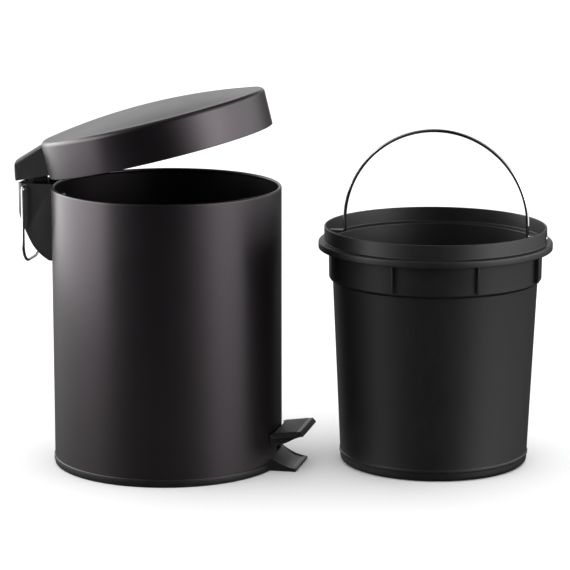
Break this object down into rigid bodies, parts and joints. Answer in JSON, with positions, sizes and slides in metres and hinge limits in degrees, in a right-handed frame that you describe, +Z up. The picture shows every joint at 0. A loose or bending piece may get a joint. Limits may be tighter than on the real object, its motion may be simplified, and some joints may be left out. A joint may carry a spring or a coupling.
{
  "type": "pedal bin",
  "caption": "Round pedal bin with a part-open hinged lid, a pedal, a carry loop and a lift-out bucket with a wire bail standing beside it.",
  "frame": {"origin": "on the floor, on the vertical axis of the bin's round body; the bucket stands beside the bin", "axes": "+Z is up, -Y is towards the pedal and the bucket, +Y is towards the lid's hinge, X runs along the hinge"},
  "size_m": [0.2599, 0.4732, 0.3376],
  "materials": {
    "coated_steel": "matt black powder coat",
    "black_polypropylene": "fine spark-textured black polypropylene",
    "bucket_polypropylene": "satin black polypropylene",
    "zinc_steel": "bright zinc plate",
    "chromed_wire": "chrome-plated wire"
  },
  "bodies": {
    "bin": {"body_shell": "coated_steel", "base_ring": "black_polypropylene", "floor_plate": "zinc_steel", "rod_bush": "black_polypropylene", "pivot_bracket": "zinc_steel", "pivot_rivets": "zinc_steel", "pivot_pin": "zinc_steel", "hinge_bracket": "black_polypropylene", "backing_plate": "zinc_steel", "bracket_screws": "zinc_steel", "hinge_tube": "zinc_steel"},
    "lid": {"lid_shell": "coated_steel", "lid_cap": "black_polypropylene", "cap_screws": "zinc_steel"},
    "pedal": {"pedal_lever": "zinc_steel", "pedal_pad": "black_polypropylene", "pad_screws": "zinc_steel"},
    "push_rod": {"push_rod": "zinc_steel", "rod_washers": "zinc_steel", "hook_clip": "zinc_steel"},
    "carry_loop": {"carry_loop": "chromed_wire"},
    "bucket": {"inner_bucket": "bucket_polypropylene"},
    "bucket_bail": {"bucket_bail": "chromed_wire"}
  },
  "joints": [
    {"name": "lid_hinge", "type": "hinge", "parent": "bin", "child": "lid", "pos_m": [0, 0.1263, 0.2476], "axis": [-1, 0, 0], "range_deg": [-14, 61]},
    {"name": "pedal_pivot", "type": "hinge", "parent": "bin", "child": "pedal", "pos_m": [0, -0.005, 0.024], "axis": [1, 0, 0], "range_deg": [-1.85, 8.03]},
    {"name": "rod_slide", "type": "slide", "parent": "bin", "child": "push_rod", "axis": [0, 0, 1], "range_m": [-0.00316, 0.01374]},
    {"name": "loop_swing", "type": "hinge", "parent": "bin", "child": "carry_loop", "pos_m": [0, 0.1263, 0.2476], "axis": [1, 0, 0], "range_deg": [-8, 100]},
    {"name": "bucket_lift", "type": "slide", "parent": "bin", "child": "bucket", "axis": [0, 0, 1], "range_m": [0, 0.3]},
    {"name": "bail_swing", "type": "hinge", "parent": "bucket", "child": "bucket_bail", "pos_m": [0.052, -0.234, 0.206], "axis": [0, 1, 0], "range_deg": [-90, 90]}
  ],
  "couplings": [
    {"joint": "pedal_pivot", "follows": "lid_hinge", "ratio": 0.13159},
    {"joint": "rod_slide", "follows": "lid_hinge", "m_per_rad": 0.012896}
  ]
}
